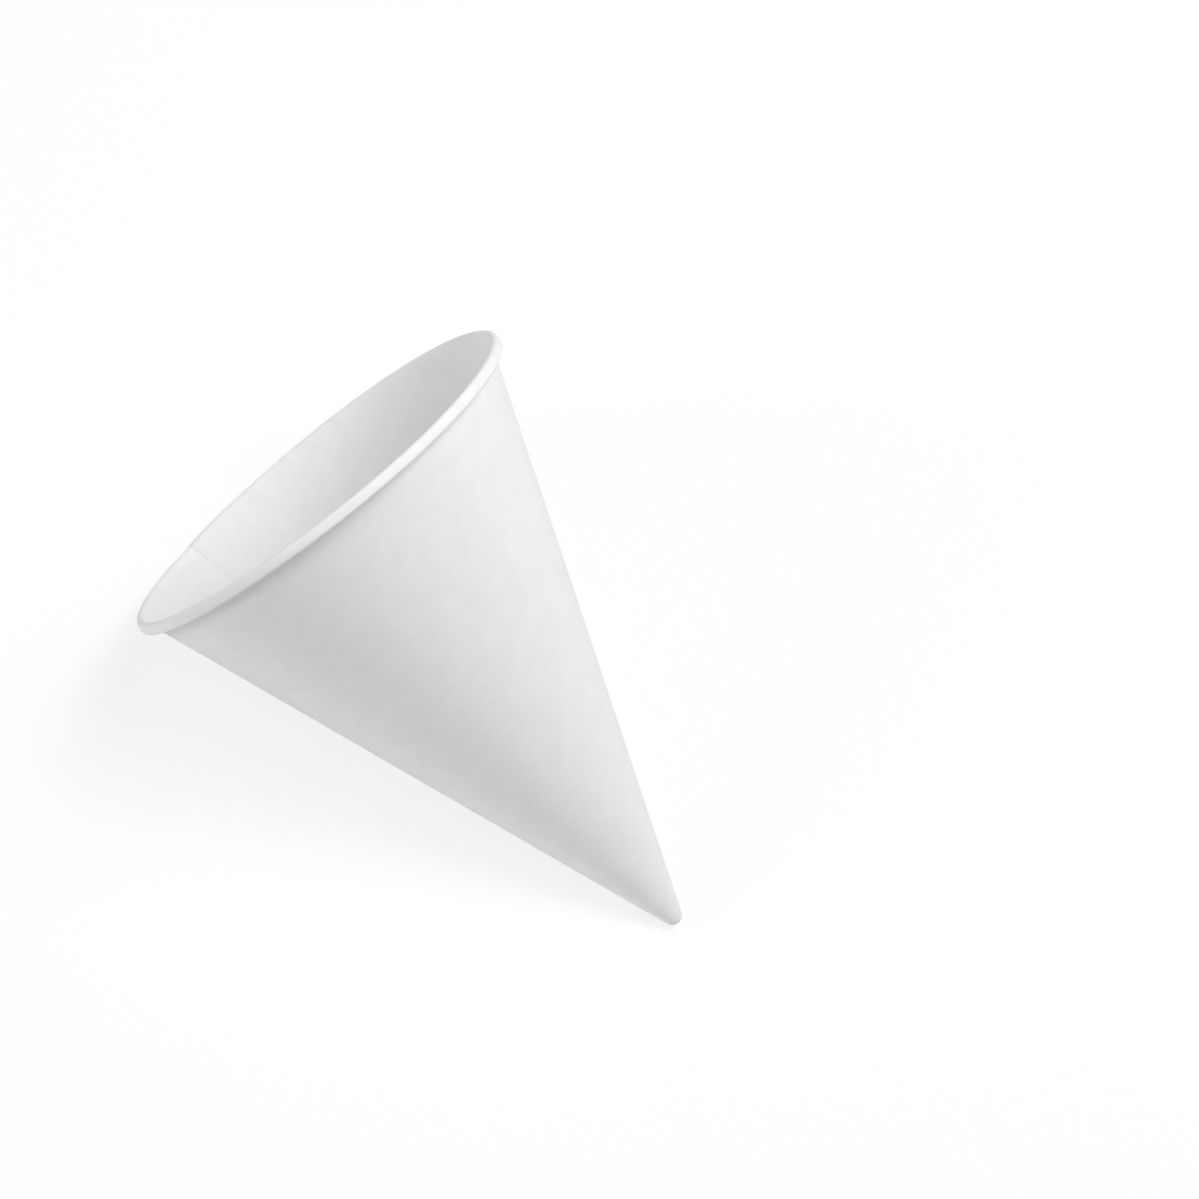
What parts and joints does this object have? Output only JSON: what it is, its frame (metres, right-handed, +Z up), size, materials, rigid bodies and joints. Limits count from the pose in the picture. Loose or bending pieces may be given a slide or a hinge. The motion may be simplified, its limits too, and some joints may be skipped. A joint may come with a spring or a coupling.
{
  "type": "cone paper cup",
  "caption": "Cone-shaped paper drinking cup with a lapped and glued side seam, an outward rolled rim and a closed rounded tip, lying on its side.",
  "frame": {"origin": "on the floor, under the middle of the cup's bounding box as it lies", "axes": "+Z up; +X along the floor from the tip towards the mouth; the cup's own axis lies in the XZ plane and rises 21.0 degrees from +X; the seam is at the bottom, along the floor"},
  "size_m": [0.1291, 0.095, 0.0886],
  "materials": {
    "white_paper": "matte"
  },
  "bodies": {
    "root": {"cone_cup": "white_paper"}
  },
  "joints": []
}
